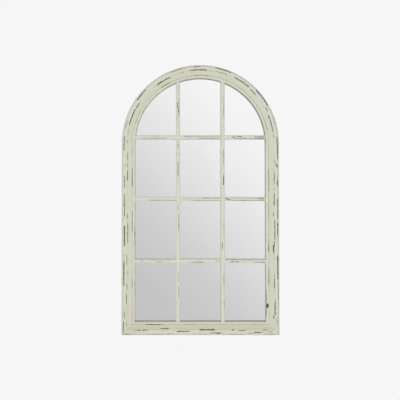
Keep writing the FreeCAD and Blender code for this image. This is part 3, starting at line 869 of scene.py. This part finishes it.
def bumper_rubber():
    material, tree, shader = new_material("bumper_rubber")
    n = Nodes(tree)
    place = n.object_place()
    mottled = n.noise(place, scale=700.0, detail=4.0, roughness=0.7)
    dusty = n.noise(place, scale=90.0, detail=2.0)
    tree.links.new(n.mix(n.between(dusty, 0.45, 0.75), RUBBER, RUBBER_DUSTY),
                   shader.inputs["Base Color"])
    tree.links.new(n.between(mottled, *MIDDLE, to_low=0.55, to_high=0.78),
                   shader.inputs["Roughness"])
    tree.links.new(n.bump(mottled, distance=0.08 * MM), shader.inputs["Normal"])
    return material


def beech():
    material, tree, shader = new_material("beech")
    n = Nodes(tree)
    place = n.object_place()
    grain = n.noise(n.stretch(place, GRAIN_UPRIGHT), scale=700.0, detail=4.0, roughness=0.6)
    tree.links.new(n.mix(n.between(grain, 0.35, 0.65), BEECH, BEECH_DARK),
                   shader.inputs["Base Color"])
    tree.links.new(n.between(grain, *MIDDLE, to_low=0.5, to_high=0.7), shader.inputs["Roughness"])
    tree.links.new(n.bump(grain, distance=0.1 * MM), shader.inputs["Normal"])
    return material


# ---- the object ------------------------------------------------------------------------------
def wooden_pieces():
    pieces = [stile(-1), stile(1), bottom_rail()]
    pieces += [arch_segment(name, ARCH_SEED + n) for n, name in enumerate(ARCH_JOINTS)]
    column = (2 * OPENING_HALF + BAR_WIDTH) / PANE_COLUMNS
    row = PANE_HEIGHT + BAR_WIDTH
    xs = [-OPENING_HALF - BAR_WIDTH / 2 + column * n for n in range(1, PANE_COLUMNS)]
    zs = [MEMBER_WIDTH - BAR_WIDTH / 2 + row * n for n in range(1, BAR_ROWS + 1)]
    uprights = ("vertical_bar_left", "vertical_bar_right")
    for n, (name, x) in enumerate(zip(uprights, xs)):
        pieces.append(bar(name, x, True, zs, UPRIGHT_SEED + n))
    levels = ("horizontal_bar_bottom", "horizontal_bar_middle", "horizontal_bar_top")
    for n, (name, z) in enumerate(zip(levels, zs)):
        pieces.append(bar(name, z, False, [], LEVEL_SEED + n))
    return pieces


def dress(nodes):
    paint = painted_wood()
    for piece in wooden_pieces():
        node = piece.name.split(".")[0]
        piece.name = node + "_painted"
        piece.data.materials.append(paint)
        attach(piece, "frame")
        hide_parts(node)
    zinc = plated_steel("zinc_plate", *STRAP_ZINC, LINES_UPRIGHT)
    wire = plated_steel("zinc_wire", *WIRE_ZINC, ALL_ROUND)
    screws = plated_steel("screw_plate", *SCREW_ZINC, ALL_ROUND)
    looks = {
        "mirror_glass": mirror_silver(),
        "backing_board": pressed_board(),
        "board_screws": screws,
        "frame_dowels": beech(),
    }
    rubber = bumper_rubber()
    for side in ("left", "right"):
        looks["hanger_strap_" + side] = zinc
        looks["hanging_ring_" + side] = wire
        looks["hanger_screws_" + side] = screws
        looks["wall_bumper_" + side] = rubber
    for name, material in looks.items():
        node = nodes[name]
        node.data.materials.clear()
        node.data.materials.append(material)


# ---- room: pale floor, soft light, camera. Lengths are in metres. ------------------------------
BACKDROP = 0.9216              # pale grey behind the object
BACKDROP_COLOUR = (BACKDROP, BACKDROP, BACKDROP, 1)
FLOOR_COLOUR = (0.86, 0.86, 0.86, 1)
FLOOR_DROP = 0.95              # the mirror hangs this far above the floor
FLOOR_RADIUS = 1.25
FLOOR_RINGS = 24
FLOOR_SPOKES = 96
FLOOR_FADE = (0.55, 0.98)      # where it fades into the backdrop, as shares of its radius
FLOOR_GLOW = 0.5               # share of the backdrop's colour that the camera sees on it

# What the mirror shows runs from dim at the lower left to bright at the upper right, with these
# levels at shares of the way between.
STUDIO_DIM = (0.560, 0.560, 0.566, 1)
STUDIO_LEVELS = ((0.16, 0.576), (0.33, 0.640), (0.5, 0.757), (0.66, 0.868), (0.82, 0.945))
STUDIO_BRIGHT = (0.965, 0.960, 0.965, 1)
STUDIO_BLUE = 1.004
STUDIO_SPAN = 0.4

# Strength of the light on matt surfaces: all round, straight from the left, and added from below.
EVEN_LIGHT = 0.277
LIGHT_FROM_LEFT = 0.425
LIGHT_FROM_BELOW = 0.097
LAMP_AIM = (0.0, 0.0, 0.6)

CAMERA_DISTANCE = 2.2
CAMERA_LEFT = 0.10             # the eye is this far left of and above the point it aims at
CAMERA_ABOVE = 0.08
CAMERA_PITCH = math.radians(0.95)
SENSOR_MM = 36.0
PHOTO_MM_PER_PIXEL = 4.432
IMAGE_WIDTH = 400
AIM_X = -0.002                 # point of the object at the middle of the picture
AIM_Z = 0.598


def floor():
    """A round flat sheet, as a fan of rings and spokes."""
    points = [(0, 0, -FLOOR_DROP)]
    faces = []
    for ring in range(1, FLOOR_RINGS + 1):
        radius = FLOOR_RADIUS * ring / FLOOR_RINGS
        for spoke in range(FLOOR_SPOKES):
            turn = 2 * math.pi * spoke / FLOOR_SPOKES
            points.append((radius * math.cos(turn), radius * math.sin(turn), -FLOOR_DROP))
    for spoke in range(FLOOR_SPOKES):
        faces.append((0, 1 + spoke, 1 + (spoke + 1) % FLOOR_SPOKES))
    for ring in range(FLOOR_RINGS - 1):
        inner = 1 + ring * FLOOR_SPOKES
        outer = inner + FLOOR_SPOKES
        for spoke in range(FLOOR_SPOKES):
            after = (spoke + 1) % FLOOR_SPOKES
            faces.append((inner + spoke, outer + spoke, outer + after, inner + after))
    mesh = bpy.data.meshes.new("floor")
    mesh.from_pydata(points, [], faces)
    piece = bpy.data.objects.new("floor", mesh)
    bpy.context.scene.collection.objects.link(piece)
    piece.data.materials.append(floor_material())


def floor_material():
    """Pale, takes a soft shadow, and fades into the backdrop at its rim."""
    material, tree = empty_material("pale_floor")
    n = Nodes(tree)
    flat = n.stretch(n.object_place(), (1, 1, 0))
    length = tree.nodes.new("ShaderNodeVectorMath")
    length.operation = "LENGTH"
    tree.links.new(flat, length.inputs[0])
    fade_start, fade_end = FLOOR_FADE
    rim = n.between(length.outputs["Value"], FLOOR_RADIUS * fade_start, FLOOR_RADIUS * fade_end)
    matt = tree.nodes.new("ShaderNodeBsdfDiffuse")
    matt.inputs["Color"].default_value = FLOOR_COLOUR
    glow = tree.nodes.new("ShaderNodeEmission")
    glow.inputs["Color"].default_value = BACKDROP_COLOUR
    clear = tree.nodes.new("ShaderNodeBsdfTransparent")
    camera_ray = tree.nodes.new("ShaderNodeLightPath").outputs["Is Camera Ray"]
    lit = tree.nodes.new("ShaderNodeMixShader")
    tree.links.new(n.maths("MULTIPLY", camera_ray, FLOOR_GLOW), lit.inputs["Fac"])
    tree.links.new(matt.outputs["BSDF"], lit.inputs[1])
    tree.links.new(glow.outputs["Emission"], lit.inputs[2])
    faded = tree.nodes.new("ShaderNodeMixShader")
    tree.links.new(rim, faded.inputs["Fac"])
    tree.links.new(lit.outputs["Shader"], faded.inputs[1])
    tree.links.new(clear.outputs["BSDF"], faded.inputs[2])
    output = tree.nodes.new("ShaderNodeOutputMaterial")
    tree.links.new(faded.outputs["Shader"], output.inputs["Surface"])
    return material


def surroundings():
    """Flat pale backdrop for the camera. What the mirror shows is a studio that is brighter up and
    to the right. Matt surfaces get an even light, stronger from the left and from below."""
    world = bpy.data.worlds.new("studio")
    bpy.context.scene.world = world
    world.use_nodes = True
    tree = world.node_tree
    tree.nodes.clear()
    n = Nodes(tree)
    direction = tree.nodes.new("ShaderNodeTexCoord").outputs["Generated"]
    towards = n.separate(direction)
    even = n.maths("ADD",
                   n.between(towards["X"], -1, 0, LIGHT_FROM_LEFT, EVEN_LIGHT, smooth=False),
                   n.between(towards["Z"], -1, 0, LIGHT_FROM_BELOW, 0, smooth=False))
    paths = tree.nodes.new("ShaderNodeLightPath").outputs
    shades = {
        "camera": background(tree, BACKDROP_COLOUR, 1.0),
        "glossy": background(tree, studio_colour(n, towards), 1.0),
        "diffuse": background(tree, (1, 1, 1, 1), even),
    }
    first = tree.nodes.new("ShaderNodeMixShader")
    tree.links.new(paths["Is Glossy Ray"], first.inputs["Fac"])
    tree.links.new(shades["diffuse"], first.inputs[1])
    tree.links.new(shades["glossy"], first.inputs[2])
    second = tree.nodes.new("ShaderNodeMixShader")
    tree.links.new(n.maths("MAXIMUM", paths["Is Camera Ray"], paths["Is Transmission Ray"]),
                   second.inputs["Fac"])
    tree.links.new(first.outputs["Shader"], second.inputs[1])
    tree.links.new(shades["camera"], second.inputs[2])
    output = tree.nodes.new("ShaderNodeOutputWorld")
    tree.links.new(second.outputs["Shader"], output.inputs["Surface"])


def studio_colour(n, towards):
    studio = n.tree.nodes.new("ShaderNodeValToRGB")
    slope = n.maths("ADD", towards["X"], towards["Z"])
    n.link(n.between(slope, -STUDIO_SPAN, STUDIO_SPAN, smooth=False), studio.inputs["Fac"])
    stops = studio.color_ramp.elements
    stops[0].color = STUDIO_DIM
    stops[1].color = STUDIO_BRIGHT
    for share, level in STUDIO_LEVELS:
        stops.new(share).color = (level, level, level * STUDIO_BLUE, 1)
    return studio.outputs["Color"]


def background(tree, colour, strength):
    node = tree.nodes.new("ShaderNodeBackground")
    n = Nodes(tree)
    n.link(colour, node.inputs["Color"])
    n.link(strength, node.inputs["Strength"])
    return node.outputs["Background"]


def soft_lamp(name, place, size, power):
    """A square lamp that lights the object without showing in the mirror or the picture."""
    data = bpy.data.lights.new(name, "AREA")
    data.shape = "SQUARE"
    data.size = size
    data.energy = power
    lamp = bpy.data.objects.new(name, data)
    bpy.context.scene.collection.objects.link(lamp)
    lamp.location = place
    lamp.rotation_euler = direction_euler(np.array(place) - np.array(LAMP_AIM))
    lamp.visible_glossy = False
    lamp.visible_camera = False


def direction_euler(away):
    """Turns a lamp, which shines along its -Z, to shine against this direction."""
    x, y, z = away / np.linalg.norm(away)
    return (math.acos(z), 0, math.atan2(x, -y))


def camera():
    """Looks straight at the object's plane from a little left and above, with the picture shifted so
    that the object is in its middle."""
    data = bpy.data.cameras.new("camera")
    data.sensor_width = SENSOR_MM
    eye = bpy.data.objects.new("camera", data)
    bpy.context.scene.collection.objects.link(eye)
    aim = np.array([AIM_X, (BACK_PLANE - DEPTH) * MM, AIM_Z])
    place = aim + np.array([-CAMERA_LEFT, -CAMERA_DISTANCE, CAMERA_ABOVE])
    eye.location = place
    eye.rotation_euler = (math.pi / 2 + CAMERA_PITCH, 0, 0)
    forward = np.array([0, math.cos(CAMERA_PITCH), math.sin(CAMERA_PITCH)])
    up = np.array([0, -math.sin(CAMERA_PITCH), math.cos(CAMERA_PITCH)])
    depth = (aim - place) @ forward
    width_seen = IMAGE_WIDTH * PHOTO_MM_PER_PIXEL * MM
    data.lens = depth / width_seen * data.sensor_width
    data.shift_x = (aim - place)[0] / width_seen
    data.shift_y = (aim - place) @ up / width_seen
    bpy.context.scene.camera = eye


def build():
    dress(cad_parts)
    floor()
    surroundings()
    soft_lamp("front_light", place=(-0.10, -3.10, 0.6), size=1.6, power=72)
    soft_lamp("back_light", place=(0.8, 3.0, 1.6), size=2.4, power=60)
    camera()
    bpy.context.scene.view_settings.view_transform = "Standard"


build()
